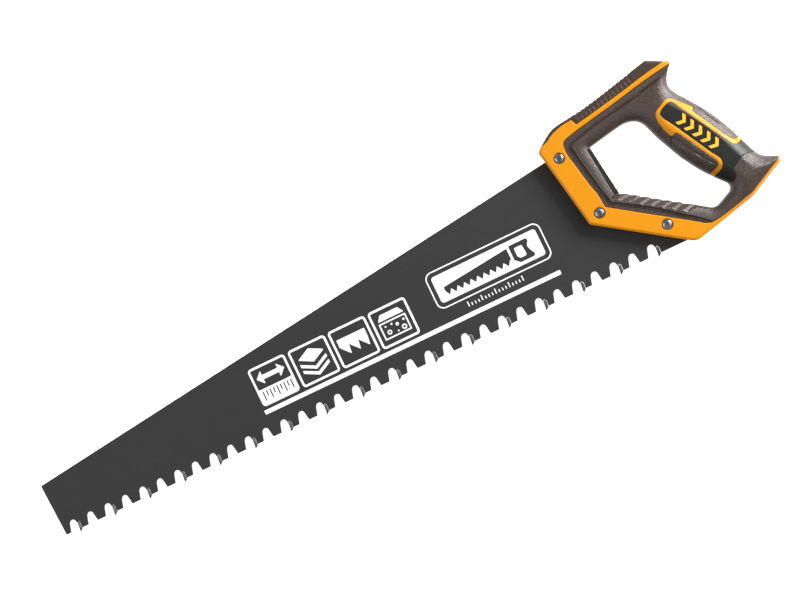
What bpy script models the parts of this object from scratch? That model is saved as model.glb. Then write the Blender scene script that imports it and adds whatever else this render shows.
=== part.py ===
"""Hand saw for light concrete: hard-tipped blade, two-material pistol handle, three screws.

The outlines are in millimetres and the scene is in metres. X runs along the tooth
line from the toe to the handle, Y from the teeth to the spine, Z through the
thickness. The saw lies on its side.
"""

import math

import bmesh
import bpy
import numpy as np
from mathutils import Matrix, Vector
from mathutils.geometry import delaunay_2d_cdt

mm = 0.001
gap = 0.3                   # clearance between pieces that touch
seam = gap / 2              # what each side of a visible seam gives up

bladeThickness = 1.8
toothCount = 33             # gullets; every second one carries a hard tip
toothPitch = 17.47
firstGullet = 9.75
tipThickness = 2.8

plateHalf = 11.0            # half thickness of the flat front of the handle
gripHalf = 16.6             # half thickness of the hand grip where it would be fully round
restHalf = 16.0             # flat that the saw lies on, cut across the grip
plateEdge = 3.0             # rounding of the plate's outer edge
linerWidth, linerDrop = 11.0, 5.5
gripRound = 17.0
shellThickness = 3.0        # outer skins over the core
bandDepth = 1.0             # recessed band beside the frame

headRadius, headHeight, counterbore = 4.55, 2.6, 5.1
shankRadius, barrelRadius = 1.7, 3.0
screws = ((532.5, 108.4), (543.1, 52.4), (589.8, 19.4))

gripAxis = ((637.0, 98.0), (664.0, 42.0))
gripReach = 48.0

# Gullet measured from its centre; the right wall faces the heel.
gulletLeft = ((-5.3, 0.0), (-3.8, 5.2), (-2.6, 8.0), (-1.1, 9.6))
gulletRight = ((1.5, 9.7), (3.0, 8.2), (3.8, 3.4), (4.3, 0.0))
gulletSeat = ((1.5, 9.7), (3.0, 8.2), (3.7, 5.63), (5.3, 7.0), (6.72, 5.3), (6.53, 0.0))
tipShape = ((3.2, -2.8), (6.2, -0.4), (6.4, 5.2), (5.3, 6.6), (3.9, 5.4))

# Outline points are (x, y) on a smooth run or (x, y, radius) at a corner.
handleOuter = (
    (531.6, 47.3, 2.9), (605.9, -4.0, 10.5), (664.5, 9.8, 23.6), (701.7, 29.0, 3.7),
    (687.2, 36.0), (683.4, 39.3), (681.1, 43.2), (677.2, 52.8), (671.3, 68.1),
    (664.8, 82.5), (657.3, 95.5), (648.9, 107.6), (643.3, 115.3), (640.1, 123.0),
    (641.9, 129.7), (646.2, 135.9), (650.8, 140.7, 1.9), (631.6, 150.9, 2.8),
    (567.2, 137.4), (554.7, 135.8), (543.2, 134.4), (536.5, 132.8), (530.7, 129.5),
    (522.5, 123.6), (519.3, 120.3), (519.0, 117.9), (520.0, 113.5, 0.0),
)
ribCount = 7
firstRib, ribStep, ribDrop = (570.7, 57.4), (7.43, -5.22), (1.9, -2.5)
openingFront = ((559.4, 105.8, 1.0), (565.2, 59.5, 0.5))
openingBack = (
    (619.1, 23.1), (632.0, 13.8, 8.5), (653.9, 24.3, 5.5), (642.9, 36.9), (634.4, 48.1),
    (625.0, 63.6), (618.4, 77.5), (613.3, 89.1), (610.5, 97.3), (608.4, 102.9),
    (605.1, 107.5), (599.6, 110.4), (593.4, 111.4), (585.3, 110.4),
)
coreOuter = (
    (533.8, 49.9, 2.0), (606.0, -0.6, 8.0), (663.0, 12.8, 20.0), (694.0, 28.8, 3.0),
    (682.8, 34.2), (678.6, 39.6), (672.4, 53.0), (666.4, 67.6), (660.0, 80.6),
    (652.8, 92.6), (644.8, 104.6), (639.2, 113.8), (636.4, 123.0), (638.2, 130.2),
    (642.6, 136.4), (645.0, 139.9, 1.5), (631.2, 147.3, 2.0), (567.8, 134.1),
    (543.0, 131.0), (534.0, 127.8), (524.6, 121.0), (522.4, 118.4, 2.0),
)
coreOpening = (
    (558.4, 106.8, 1.0), (564.0, 58.0, 1.0), (616.2, 21.4), (632.3, 10.4, 9.5),
    (658.4, 23.2, 6.5), (645.8, 38.2), (637.0, 49.9), (627.8, 65.0), (621.2, 78.8),
    (616.1, 90.2), (613.3, 98.4), (611.0, 104.6), (607.0, 110.2), (600.4, 113.4),
    (593.2, 114.5), (584.8, 113.5),
)
frameTop = (
    (509.4, 122.4), (522.5, 123.8), (528.2, 125.1), (533.6, 128.2), (540.3, 130.9),
    (548.0, 132.5), (555.5, 133.1, 1.2), (557.5, 127.7, 1.2), (572.0, 130.2),
    (600.6, 135.3), (629.2, 141.0), (646.2, 143.4), (660.0, 145.4, 0.0),
)
frameInner = (
    (661.0, 140.9, 0.0), (648.1, 139.4), (619.7, 135.2), (600.6, 131.4), (572.0, 126.2),
    (552.8, 122.7), (540.3, 119.7, 6.7), (539.8, 110.0), (542.5, 94.9), (545.8, 77.5),
    (548.2, 67.8), (549.6, 54.9, 1.9), (614.3, 9.9, 0.0), (618.6, 6.8), (623.3, 5.1),
    (628.5, 5.1), (638.0, 6.8), (664.5, 13.2, 17.0), (694.6, 28.8), (708.0, 35.5, 0.0),
)
bandInner = (
    (645.0, 133.7, 0.0), (600.6, 125.3), (571.9, 120.8), (552.7, 116.6), (544.7, 114.2, 3.5),
    (546.0, 103.6), (549.2, 85.2), (552.5, 67.8), (555.6, 55.8, 1.5), (585.9, 36.0),
    (604.9, 21.0), (617.2, 11.8), (621.5, 7.6, 0.0),
)
blackStrip = ((556.6, 104.6), (561.2, 60.5), (572.0, 60.5), (568.0, 104.6))
trimPad = (
    (632.0, 38.6, 0.0), (639.1, 41.6), (642.9, 43.3), (647.7, 45.2), (649.4, 48.6),
    (647.7, 52.4), (643.0, 61.1), (638.3, 69.7), (633.6, 78.4), (629.9, 84.2),
    (628.0, 85.2), (624.9, 83.9), (621.8, 88.6), (620.2, 94.4), (619.2, 103.0),
    (620.7, 107.2), (629.0, 112.1), (634.3, 114.2), (637.6, 112.5), (645.1, 104.7),
    (650.9, 98.2, 0.9), (648.6, 95.7, 0.9), (655.4, 83.5), (661.5, 72.0), (667.1, 62.4),
    (670.4, 59.5), (675.3, 60.0), (687.0, 61.8, 0.0),
)
trimPanel = (
    (688.0, 58.4, 0.0), (676.0, 57.6), (670.8, 55.0), (667.0, 56.4), (663.3, 62.4),
    (657.7, 72.0), (647.9, 89.3), (639.9, 103.8), (636.1, 110.1), (633.3, 110.3),
    (623.3, 104.5), (623.8, 102.0), (628.9, 93.3), (638.3, 75.8), (647.7, 58.2),
    (652.6, 49.0), (651.0, 43.3), (647.6, 40.7), (642.0, 38.8), (631.0, 34.6, 0.0),
)
hornEdge = (
    (640.0, 25.0, 0.0), (650.1, 27.5), (655.1, 28.7), (658.0, 31.4), (658.0, 36.8),
    (660.4, 39.2), (666.5, 42.6), (671.2, 44.5), (680.6, 42.8), (692.0, 40.0, 0.0),
)
tang = (
    (519.9, 110.9, 0.0), (523.5, 111.6, 1.0), (525.5, 116.5, 2.0), (538.5, 117.4, 3.0),
    (549.5, 62.5, 7.0), (603.0, 24.5, 4.0), (604.0, 4.0, 2.0), (600.0, 0.0, 0.0),
)
spineRibs, spineRibPitch = 14, 4.05

colours = {
    "steel": (0.045, 0.045, 0.047), "carbide": (0.19, 0.19, 0.20),
    "yellow": (0.88, 0.37, 0.012), "brown": (0.085, 0.058, 0.047),
    "black": (0.017, 0.017, 0.016), "zinc": (0.33, 0.36, 0.40),
}


def clearScene():
    for item in list(bpy.data.objects):
        bpy.data.objects.remove(item, do_unlink=True)


def unit(vector):
    return vector / max(np.linalg.norm(vector), 1e-9)


def fillet(before, corner, after, radius):
    back, ahead = unit(before - corner), unit(after - corner)
    half = math.acos(max(-1.0, min(1.0, float(back @ ahead)))) / 2
    if radius < 0.05 or half > 1.5:
        return [corner]
    reach = min(radius / math.tan(half), 0.47 * np.linalg.norm(before - corner),
                0.47 * np.linalg.norm(after - corner))
    radius = reach * math.tan(half)
    centre = corner + unit(back + ahead) * radius / math.sin(half)
    start, end = corner + back * reach - centre, corner + ahead * reach - centre
    steps = max(1, math.ceil((math.pi - 2 * half) / math.radians(32)))
    arc = []
    for i in range(steps + 1):
        mix = unit(start * (1 - i / steps) + end * (i / steps))
        arc.append(centre + mix * radius)
    return arc


def drawn(outline, closed=True, longest=12.0, bend=22):
    """The outline as a polyline: arcs at the corners, cubic runs through the smooth points."""
    count = len(outline)
    nodes = []
    for i, point in enumerate(outline):
        here = np.array(point[:2])
        if len(point) == 2:
            nodes.append((here, True))
            continue
        if not closed and i in (0, count - 1):
            nodes.append((here, False))
            continue
        before = np.array(outline[i - 1][:2])
        after = np.array(outline[(i + 1) % count][:2])
        nodes += [(p, False) for p in fillet(before, here, after, point[2])]
    total = len(nodes)
    path = []
    for i in range(total if closed else total - 1):
        (a, smoothA), (b, smoothB) = nodes[i], nodes[(i + 1) % total]
        length = np.linalg.norm(b - a)
        slopeA = slopeB = unit(b - a)
        if smoothA:
            slopeA = unit(unit(b - a) + unit(a - nodes[i - 1][0]))
        if smoothB:
            slopeB = unit(unit(b - a) + unit(nodes[(i + 2) % total][0] - b))
        turn = math.acos(max(-1.0, min(1.0, float(slopeA @ slopeB))))
        steps = max(1, math.ceil(turn / math.radians(bend)), math.ceil(length / longest))
        for j in range(steps):
            t = j / steps
            path.append(
                a * (2 * t**3 - 3 * t**2 + 1) + b * (3 * t**2 - 2 * t**3)
                + slopeA * length * (t**3 - 2 * t**2 + t) + slopeB * length * (t**3 - t**2)
            )
    if not closed:
        path.append(nodes[-1][0])
    return np.array(path)


def turned(path):
    """The closed path running counter-clockwise."""
    x, y = path[:, 0], path[:, 1]
    area = float(np.sum(x * np.roll(y, -1) - np.roll(x, -1) * y))
    return path if area > 0 else path[::-1]


def grown(path, amount):
    """The closed counter-clockwise path moved outward by amount."""
    path = turned(path)
    ahead = np.roll(path, -1, axis=0) - path
    ahead /= np.linalg.norm(ahead, axis=1)[:, None]
    normal = np.stack([ahead[:, 1], -ahead[:, 0]], axis=1)
    both = normal + np.roll(normal, 1, axis=0)
    scale = np.maximum(0.5, 0.5 * np.sum(both * both, axis=1))
    return path + both * (amount / scale)[:, None]


def inside(points, path):
    x, y = points[:, 0][:, None], points[:, 1][:, None]
    x0, y0 = path[:, 0][None], path[:, 1][None]
    x1, y1 = np.roll(x0, -1, axis=1), np.roll(y0, -1, axis=1)
    crosses = (y0 > y) != (y1 > y)
    at = x0 + (y - y0) * (x1 - x0) / np.where(y1 == y0, 1e-9, y1 - y0)
    return np.sum(crosses & (x < at), axis=1) % 2 == 1


def reachOf(points, path):
    """How far each point is from the closed path."""
    a, b = path[None], np.roll(path, -1, axis=0)[None]
    along = b - a
    t = np.sum((points[:, None] - a) * along, axis=2) / np.sum(along * along, axis=2)
    near = a + along * np.clip(t, 0, 1)[:, :, None]
    return np.min(np.linalg.norm(points[:, None] - near, axis=2), axis=1)


def gripShare(points):
    """0 on the flat front of the handle, 1 in the middle of the hand grip."""
    a, b = np.array(gripAxis[0]), np.array(gripAxis[1])
    t = np.clip((points - a) @ (b - a) / ((b - a) @ (b - a)), 0, 1)
    away = np.linalg.norm(points - a - t[:, None] * (b - a), axis=1)
    share = np.clip(1.2 * (1 - away / gripReach), 0, 1)
    return share * share * (3 - 2 * share)


def quarter(depth):
    return np.sqrt(1 - (1 - np.clip(depth, 0, 1)) ** 2)


def envelope(points, outer, opening):
    """Half the thickness of the handle at each point."""
    share = gripShare(points)
    full = plateHalf + (gripHalf - plateHalf) * share
    deep = full - 1.4
    edgeWidth = plateEdge + (gripRound - plateEdge) * share
    edgeDrop = plateEdge + (deep - plateEdge) * share
    mouthWidth = linerWidth + (gripRound - linerWidth) * share
    mouthDrop = linerDrop + (deep - linerDrop) * share
    drop = edgeDrop * (1 - quarter(reachOf(points, outer) / edgeWidth))
    drop += mouthDrop * (1 - quarter(reachOf(points, opening) / mouthWidth))
    return np.clip(full - drop, 1.4, restHalf)


def thinned(points, distance):
    """The points no nearer than distance to each other."""
    cells = {}
    result = []
    for point in points:
        cx, cy = (point // distance).astype(int)
        near = (p for i in (-1, 0, 1) for j in (-1, 0, 1) for p in cells.get((cx + i, cy + j), ()))
        if all(np.linalg.norm(point - p) >= distance for p in near):
            cells.setdefault((cx, cy), []).append(point)
            result.append(point)
    return result


def addMesh(name, points, faces):
    mesh = bpy.data.meshes.new(name)
    mesh.from_pydata([tuple(p) for p in points], [], faces)
    obj = bpy.data.objects.new(name, mesh)
    bpy.context.collection.objects.link(obj)
    bm = bmesh.new()
    bm.from_mesh(mesh)
    bmesh.ops.recalc_face_normals(bm, faces=bm.faces)
    bm.to_mesh(mesh)
    bm.free()
    return obj


def prism(name, path, low, high):
    count = len(path)
    points = [(x * mm, y * mm, z * mm) for z in (low, high) for x, y in path]
    faces = [list(range(count))[::-1], list(range(count, 2 * count))]
    faces += [[i, (i + 1) % count, count + (i + 1) % count, count + i] for i in range(count)]
    return addMesh(name, points, faces)


def shaped(name, outer, opening, height, offsets, spacing, closest):
    """A solid on both sides of the middle plane, height(points) thick at each side."""
    rings = [outer, opening]
    bounds = np.concatenate(rings)
    extra = []
    for path, sign in ((outer, -1), (opening, 1)):
        for share in offsets:
            step = share * (plateEdge if sign < 0 else linerWidth)
            wide = gripRound * share
            grip = gripShare(path)
            moved = grown(path, sign) - path
            for point, move, part in zip(path, moved, grip):
                away = step + (wide - step) * part
                spot = point + move * away
                if reachOf(spot[None], path)[0] > 0.9 * away:
                    extra.append(spot)
    low, high = outer.min(axis=0), outer.max(axis=0)
    field = []
    for row, y in enumerate(np.arange(low[1], high[1], spacing * 0.866)):
        for x in np.arange(low[0] + (row % 2) * spacing / 2, high[0], spacing):
            field.append(np.array([x, y]))
    field = np.array(field)
    grip = gripShare(field)
    field = field[
        (reachOf(field, outer) > 0.7 * (plateEdge + (gripRound - plateEdge) * grip))
        & (reachOf(field, opening) > 0.7 * (linerWidth + (gripRound - linerWidth) * grip))
    ]
    extra = np.concatenate([np.array(extra), field])
    extra = extra[inside(extra, outer) & ~inside(extra, opening)]
    extra = extra[np.minimum(reachOf(extra, outer), reachOf(extra, opening)) > 1.2]
    extra = np.array(thinned(extra, closest))
    flat = np.concatenate([bounds, extra])
    edges = []
    start = 0
    for ring in rings:
        edges += [(start + i, start + (i + 1) % len(ring)) for i in range(len(ring))]
        start += len(ring)
    spots, _, triangles, *_ = delaunay_2d_cdt([Vector(p) for p in flat], edges, [], 0, 1e-6)
    spots = np.array([tuple(p) for p in spots])
    triangles = np.array([list(t) for t in triangles])
    middle = spots[triangles].mean(axis=1)
    triangles = triangles[inside(middle, outer) & ~inside(middle, opening)]
    z = height(spots)
    count = len(spots)
    points = np.concatenate([np.column_stack([spots, z]), np.column_stack([spots, -z])]) * mm
    faces = [list(t) for t in triangles] + [[i + count for i in t[::-1]] for t in triangles]
    seen = {}
    for t in triangles.tolist():
        for a, b in ((t[0], t[1]), (t[1], t[2]), (t[2], t[0])):
            seen.setdefault((min(a, b), max(a, b)), []).append((a, b))
    for pairs in seen.values():
        if len(pairs) == 1:
            a, b = pairs[0]
            faces.append([b, a, a + count, b + count])
    return addMesh(name, points, faces)


def combine(target, others, operation):
    """The Booleans applied one by one, the other solids left in place."""
    for other in others:
        modifier = target.modifiers.new(other.name, "BOOLEAN")
        modifier.operation = operation
        modifier.solver = "EXACT"
        modifier.object = other
        graph = bpy.context.evaluated_depsgraph_get()
        mesh = bpy.data.meshes.new_from_object(target.evaluated_get(graph))
        target.modifiers.clear()
        target.data = mesh
    return target


def copyOf(source, name):
    obj = bpy.data.objects.new(name, source.data.copy())
    bpy.context.collection.objects.link(obj)
    return obj


def puffed(source, name, amount):
    """A copy of the solid with its surface moved outward by amount."""
    obj = copyOf(source, name)
    bm = bmesh.new()
    bm.from_mesh(obj.data)
    bm.normal_update()
    moves = [v.normal * amount * min(1.6, v.calc_shell_factor()) * mm for v in bm.verts]
    for vertex, move in zip(bm.verts, moves):
        vertex.co += move
    bm.to_mesh(obj.data)
    bm.free()
    return obj


def turnedShape(name, profile, centre, steps=16):
    """A profile of (radius, z) turned round the Z axis at centre."""
    points = []
    faces = []
    for radius, z in profile:
        if radius < 1e-6:
            points.append((0.0, 0.0, z))
            continue
        for i in range(steps):
            angle = 2 * math.pi * i / steps
            points.append((radius * math.cos(angle), radius * math.sin(angle), z))
    starts = []
    index = 0
    for radius, _ in profile:
        starts.append(index)
        index += 1 if radius < 1e-6 else steps
    for k in range(len(profile) - 1):
        a, b = starts[k], starts[k + 1]
        single, nextSingle = profile[k][0] < 1e-6, profile[k + 1][0] < 1e-6
        for i in range(steps):
            j = (i + 1) % steps
            if single:
                faces.append([a, b + i, b + j])
            elif nextSingle:
                faces.append([a + i, a + j, b])
            else:
                faces.append([a + i, a + j, b + j, b + i])
    obj = addMesh(name, [(x * mm, y * mm, z * mm) for x, y, z in points], faces)
    obj.data.transform(Matrix.Translation((centre[0] * mm, centre[1] * mm, 0)))
    return obj


def cylinder(name, centre, radius, low, high, steps=16):
    return turnedShape(name, ((0, low), (radius, low), (radius, high), (0, high)), centre, steps)


def finish(obj, colour, roughness, metallic=0.0):
    material = bpy.data.materials.new(obj.name)
    material.use_nodes = True
    shader = material.node_tree.nodes["Principled BSDF"]
    shader.inputs["Base Color"].default_value = (*colours[colour], 1)
    shader.inputs["Roughness"].default_value = roughness
    shader.inputs["Metallic"].default_value = metallic
    material.diffuse_color = (*colours[colour], 1)
    obj.data.materials.clear()
    obj.data.materials.append(material)
    obj.data.shade_smooth()
    obj.data.set_sharp_from_angle(angle=math.radians(35))


clearScene()

# Outlines of the handle
ribPoints = []
for i in range(ribCount):
    peak = (firstRib[0] + i * ribStep[0], firstRib[1] + i * ribStep[1])
    ribPoints.append((*peak, 0.6))
    if i < ribCount - 1:
        ribPoints.append((peak[0] + ribDrop[0], peak[1] + ribDrop[1], 0.0))
outerPath = turned(drawn(handleOuter))
openingPath = turned(drawn(openingFront + tuple(ribPoints) + openingBack))
coreOuterPath = turned(drawn(coreOuter, longest=20, bend=34))
coreOpeningPath = turned(drawn(coreOpening, longest=20, bend=34))

topEdge = drawn(frameTop, closed=False)
innerEdge = drawn(frameInner, closed=False)
framePath = np.concatenate([topEdge, innerEdge, [(712, 10), (640, -20), (604, -20), (500, 48)]])
innerPath = np.concatenate([innerEdge, [(725, 60), (725, 120), (690, 145)]])
padPath = np.concatenate([topEdge, [(662, 175), (505, 175)]])
bandPath = np.concatenate([drawn(bandInner, closed=False), drawn(frameInner[1:-4], closed=False)[::-1]])
padEdge = drawn(trimPad, closed=False)
panelEdge = drawn(trimPanel, closed=False)
trimPath = np.concatenate([padEdge, panelEdge])
hornPath = drawn(hornEdge, closed=False)
insertPath = np.concatenate([padEdge, hornPath[::-1]])
panelPath = np.concatenate([panelEdge, hornPath])


def handleHeight(points):
    return envelope(points, outerPath, openingPath)


def coreHeight(points):
    return np.clip(0.9 * handleHeight(points) - shellThickness, 2.0, None)


# Handle solids that the visible pieces are cut from
body = shaped("body", outerPath, openingPath, handleHeight, (1.0, 0.45, 0.13), 10.0, 3.3)
inner = shaped("inner", coreOuterPath, coreOpeningPath, coreHeight, (1.0, 0.4), 14.0, 9.0)
wide = puffed(inner, "wide", gap)
slotPath = grown(np.concatenate([drawn(tang, closed=False), [(500, 0), (500, 108.52)]]), gap)
slot = prism("slot", slotPath, -bladeThickness / 2 - gap, bladeThickness / 2 + gap)
holes = [cylinder(f"hole{i}", at, barrelRadius + gap, -30, 30) for i, at in enumerate(screws)]
floor = plateHalf - 1.5
counterbored = ((0, -30), (counterbore, -30), (counterbore, -floor), (barrelRadius + gap, -floor),
                (barrelRadius + gap, floor), (counterbore, floor), (counterbore, 30), (0, 30))
bores = [turnedShape(f"bore{i}", counterbored, at) for i, at in enumerate(screws)]

# Handle pieces
frame = copyOf(body, "handle_frame")
combine(frame, [prism("frameCut", grown(framePath, -seam), -40, 40)], "INTERSECT")
combine(frame, [wide, slot, *bores], "DIFFERENCE")

pad = copyOf(body, "spine_pad")
combine(pad, [prism("padCut", grown(padPath, -seam), -40, 40)], "INTERSECT")
grooves = []
along = np.array((0.9786, 0.2056))
across = np.array((-along[1], along[0]))
for i in range(spineRibs):
    at = np.array((561.0, 136.1)) + along * spineRibPitch * i
    mouth = at + across * 4
    corners = [at - along * 0.7, at + along * 0.7, mouth + along * 0.9, mouth - along * 0.9]
    grooves.append(prism(f"groove{i}", np.array(corners) - across * 0.9, -40, 40))
combine(pad, [wide, *grooves], "DIFFERENCE")

grip = copyOf(body, "soft_grip")
combine(grip, [prism("gripCut", grown(innerPath, -seam), -40, 40)], "INTERSECT")
cuts = [wide]
cuts.append(prism("insertCut", grown(insertPath, seam), -40, 40))
cuts.append(prism("stripCut", grown(np.array(blackStrip), seam), -40, 40))
for side in (1, -1):
    low, high = sorted((side * (plateHalf - bandDepth), side * 30))
    cuts.append(prism(f"band{side}", turned(bandPath), low, high))
combine(grip, cuts, "DIFFERENCE")

trim = copyOf(body, "grip_trim")
combine(trim, [prism("trimCut", grown(trimPath, -seam), -40, 40)], "INTERSECT")
combine(trim, [wide], "DIFFERENCE")

core = copyOf(body, "panelBody")
combine(core, [prism("panelCut", grown(panelPath, -seam), -40, 40)], "INTERSECT")
strip = copyOf(body, "stripBody")
combine(strip, [prism("stripKeep", grown(np.array(blackStrip), -seam), -40, 40)], "INTERSECT")
core.name = "handle_core"
combine(core, [inner, strip], "UNION")
combine(core, [slot, *holes], "DIFFERENCE")

# Blade
bladePath = [(0.0, 0.0)]
for i in range(toothCount):
    centre = firstGullet + i * toothPitch
    wall = gulletSeat if i % 2 == 0 else gulletRight
    bladePath += [(centre + x, y) for x, y in gulletLeft + wall]
bladePath += [tuple(p) for p in drawn(tang, closed=False)[::-1]]
bladePath += [(-1.7, 48.65), (-2.1, 48.3)]
blade = prism("blade", turned(np.array(bladePath)), -bladeThickness / 2, bladeThickness / 2)
combine(blade, holes, "DIFFERENCE")
tips = []
for i in range(0, toothCount, 2):
    centre = firstGullet + i * toothPitch
    shape = turned(np.array([(centre + x, y) for x, y in tipShape]))
    tips.append(prism(f"carbide_tip_{i // 2 + 1:02d}", shape, -tipThickness / 2, tipThickness / 2))

# Screws from the front, sleeve nuts from the back
seat = plateHalf - 1.5 + gap
boltHead = (
    (0, seat + 1.1), (1.5, seat + 1.1), (1.9, seat + headHeight), (3.2, seat + headHeight - 0.25),
    (4.1, seat + headHeight - 0.9), (headRadius, seat + 0.9), (headRadius, seat),
)
sleeveEnd = plateHalf - 1.5
fasteners = []
for i, at in enumerate(screws):
    shank = ((shankRadius, seat), (shankRadius, -6.0), (1.2, -6.6), (0, -6.6))
    fasteners.append(turnedShape(f"screw_{i + 1}", boltHead + shank, at))
    back = [(r, -z) for r, z in boltHead]
    sleeve = (
        (barrelRadius, -seat), (barrelRadius, sleeveEnd - gap), (2.0, sleeveEnd - gap),
        (2.0, -7.2), (0, -7.2),
    )
    fasteners.append(turnedShape(f"sleeve_nut_{i + 1}", tuple(back) + sleeve, at))

keep = {
    "blade": ("steel", 0.55, 0.6), "handle_core": ("black", 0.35, 0),
    "handle_frame": ("yellow", 0.4, 0), "grip_trim": ("yellow", 0.38, 0),
    "soft_grip": ("brown", 0.75, 0), "spine_pad": ("brown", 0.75, 0),
}
keep.update({tip.name: ("carbide", 0.35, 0.9) for tip in tips})
keep.update({item.name: ("zinc", 0.3, 0.95) for item in fasteners})
for item in list(bpy.data.objects):
    if item.name not in keep:
        bpy.data.objects.remove(item, do_unlink=True)
for name, (colour, roughness, metallic) in keep.items():
    finish(bpy.data.objects[name], colour, roughness, metallic)

# The drawing's datum moved so that the saw is centred over the origin and rests on Z = 0.
points = np.array([
    tuple(v.co) for item in bpy.data.objects for v in item.data.vertices
])
low, high = points.min(axis=0), points.max(axis=0)
datum = bpy.data.objects.new("datum", None)
bpy.context.collection.objects.link(datum)
datum.location = (-(low[0] + high[0]) / 2, -(low[1] + high[1]) / 2, -low[2])
for item in list(bpy.data.objects):
    if item.type == "MESH":
        item.parent = datum
print("datum at", [round(v * 1000, 3) for v in datum.location])
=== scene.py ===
import math
import bmesh
import bpy
import numpy as np
from mathutils import Matrix, Vector
from mathutils.geometry import delaunay_2d_cdt
from mathutils.kdtree import KDTree


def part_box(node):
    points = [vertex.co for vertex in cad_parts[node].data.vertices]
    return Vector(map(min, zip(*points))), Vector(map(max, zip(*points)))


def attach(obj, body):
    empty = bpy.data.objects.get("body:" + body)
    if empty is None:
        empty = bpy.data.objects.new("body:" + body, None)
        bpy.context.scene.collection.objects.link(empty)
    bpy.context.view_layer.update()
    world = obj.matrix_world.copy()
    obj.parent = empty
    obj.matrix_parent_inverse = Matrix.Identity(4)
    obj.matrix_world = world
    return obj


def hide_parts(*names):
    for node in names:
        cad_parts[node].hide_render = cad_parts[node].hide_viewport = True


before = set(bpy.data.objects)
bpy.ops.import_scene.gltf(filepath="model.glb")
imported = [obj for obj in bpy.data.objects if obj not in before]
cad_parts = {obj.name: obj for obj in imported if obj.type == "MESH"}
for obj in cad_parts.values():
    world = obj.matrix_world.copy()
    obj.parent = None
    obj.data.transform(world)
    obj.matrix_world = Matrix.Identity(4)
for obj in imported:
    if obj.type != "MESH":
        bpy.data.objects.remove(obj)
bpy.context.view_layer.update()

# Outlines are in millimetres on the saw's own drawing: x along the tooth line from the toe,
# y from the teeth to the spine, z from the middle of the blade. Points are (x, y) on a smooth
# run and (x, y, radius) at a corner.
mm = 0.001
bladeLow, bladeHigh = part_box("blade")
toeOverhang = 2.1  # the top of the toe leans this far back past the first tooth
datum = Vector((bladeLow.x + toeOverhang * mm, bladeLow.y, (bladeLow.z + bladeHigh.z) / 2))
print("saw datum at", [round(v, 4) for v in datum])

drawing = {"leastRadius": 0.05, "nearlyStraight": 1.5, "longestFillet": 0.47, "batch": 2000}


# outline tools
def unit(vector):
    return vector / max(np.linalg.norm(vector), 1e-9)


def angleBetween(a, b):
    return math.acos(max(-1.0, min(1.0, float(a @ b))))


def fillet(before, corner, after, radius, bend):
    back, ahead = unit(before - corner), unit(after - corner)
    half = angleBetween(back, ahead) / 2
    if radius < drawing["leastRadius"] or half > drawing["nearlyStraight"]:
        return [corner]
    shortest = min(np.linalg.norm(before - corner), np.linalg.norm(after - corner))
    reach = min(radius / math.tan(half), drawing["longestFillet"] * shortest)
    radius = reach * math.tan(half)
    centre = corner + unit(back + ahead) * radius / math.sin(half)
    start, end = corner + back * reach - centre, corner + ahead * reach - centre
    steps = max(2, math.ceil((math.pi - 2 * half) / math.radians(bend)))
    return [centre + unit(start * (1 - i / steps) + end * (i / steps)) * radius for i in range(steps + 1)]


def drawn(outline, closed=True, longest=2.2, bend=9):
    # a path through the outline: arcs at the corners, smooth curves between the plain points
    count = len(outline)
    nodes = []
    for i, point in enumerate(outline):
        here = np.array(point[:2], float)
        if len(point) == 2:
            nodes.append((here, True))
        elif not closed and i in (0, count - 1):
            nodes.append((here, False))
        else:
            before = np.array(outline[i - 1][:2], float)
            after = np.array(outline[(i + 1) % count][:2], float)
            nodes += [(p, False) for p in fillet(before, here, after, point[2], bend)]
    total = len(nodes)
    path = []
    for i in range(total if closed else total - 1):
        (a, smoothA), (b, smoothB) = nodes[i], nodes[(i + 1) % total]
        length = np.linalg.norm(b - a)
        slopeA = slopeB = unit(b - a)
        if smoothA:
            slopeA = unit(unit(b - a) + unit(a - nodes[i - 1][0]))
        if smoothB:
            slopeB = unit(unit(b - a) + unit(nodes[(i + 2) % total][0] - b))
        turn = angleBetween(slopeA, slopeB)
        steps = max(1, math.ceil(turn / math.radians(bend)), math.ceil(length / longest))
        for j in range(steps):
            t = j / steps
            path.append(a * (2 * t**3 - 3 * t**2 + 1) + b * (3 * t**2 - 2 * t**3)
                        + slopeA * length * (t**3 - 2 * t**2 + t) + slopeB * length * (t**3 - t**2))
    if not closed:
        path.append(nodes[-1][0])
    return np.array(path)


def turned(path):
    # the closed path, run anticlockwise
    x, y = path[:, 0], path[:, 1]
    return path if np.sum(x * np.roll(y, -1) - np.roll(x, -1) * y) > 0 else path[::-1]


def grown(path, amount):
    # a closed path moved outwards
    path = turned(path)
    ahead = np.roll(path, -1, axis=0) - path
    ahead /= np.linalg.norm(ahead, axis=1)[:, None]
    normal = np.stack([ahead[:, 1], -ahead[:, 0]], axis=1)
    both = normal + np.roll(normal, 1, axis=0)
    scale = np.maximum(0.5, 0.5 * np.sum(both * both, axis=1))
    return path + both * (amount / scale)[:, None]


def beside(line, away):
    # an open line moved to its left
    ahead = line[1:] - line[:-1]
    ahead /= np.linalg.norm(ahead, axis=1)[:, None]
    normal = np.stack([-ahead[:, 1], ahead[:, 0]], axis=1)
    both = np.concatenate([normal[:1] * 2, normal[1:] + normal[:-1], normal[-1:] * 2])
    scale = np.maximum(0.5, 0.5 * np.sum(both * both, axis=1))
    return line + both * (away / scale)[:, None]


def closedLine(path):
    return np.concatenate([path, path[:1]])


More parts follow.
